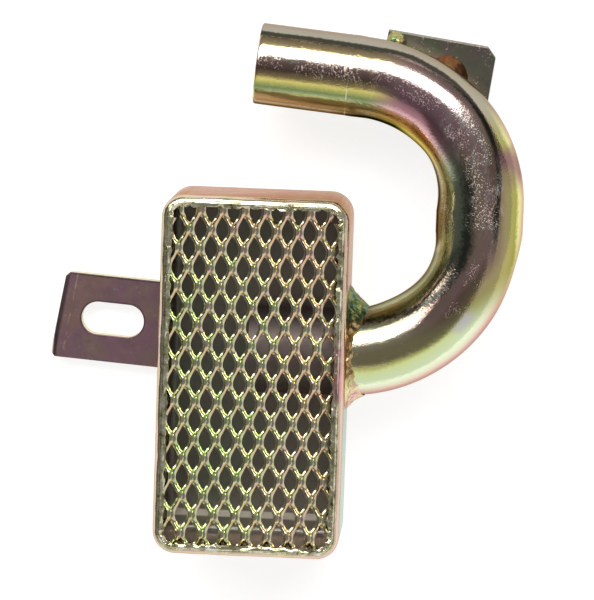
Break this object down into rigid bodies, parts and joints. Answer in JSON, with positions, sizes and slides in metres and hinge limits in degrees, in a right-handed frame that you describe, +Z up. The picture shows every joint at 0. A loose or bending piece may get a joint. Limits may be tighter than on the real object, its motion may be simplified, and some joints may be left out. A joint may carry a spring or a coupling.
{
  "type": "oil pickup tube",
  "caption": "Bent steel suction tube with a plain press-fit end, welded into the side of a screened sheet-metal box, with a slotted strap and a small brace plate behind.",
  "frame": {"origin": "on the underside of the slotted strap, below the middle of the screen box, in the plane on which the part lies", "axes": "+Z up out of the screen, +Y along the box's long side towards the tube's press-fit leg, +X along the box's short side towards the tube's bends"},
  "size_m": [0.1027, 0.1139, 0.0282],
  "materials": {
    "box_sheet": "yellow zinc plated sheet, satin",
    "screen_sheet": "yellow zinc plated expanded sheet, bright",
    "tube_steel": "yellow zinc plated tube, bright with scratches",
    "bracket_steel": "yellow zinc plated strip, satin, brown to purple",
    "weld_metal": "plated weld bead, rough"
  },
  "bodies": {
    "root": {"screen_box": "box_sheet", "screen_mesh": "screen_sheet", "pickup_tube": "tube_steel", "tube_weld": "weld_metal", "slot_strap": "bracket_steel", "strap_weld_top": "weld_metal", "strap_weld_bottom": "weld_metal", "brace_plate": "bracket_steel", "brace_weld": "weld_metal", "brace_tack": "weld_metal"}
  },
  "joints": []
}
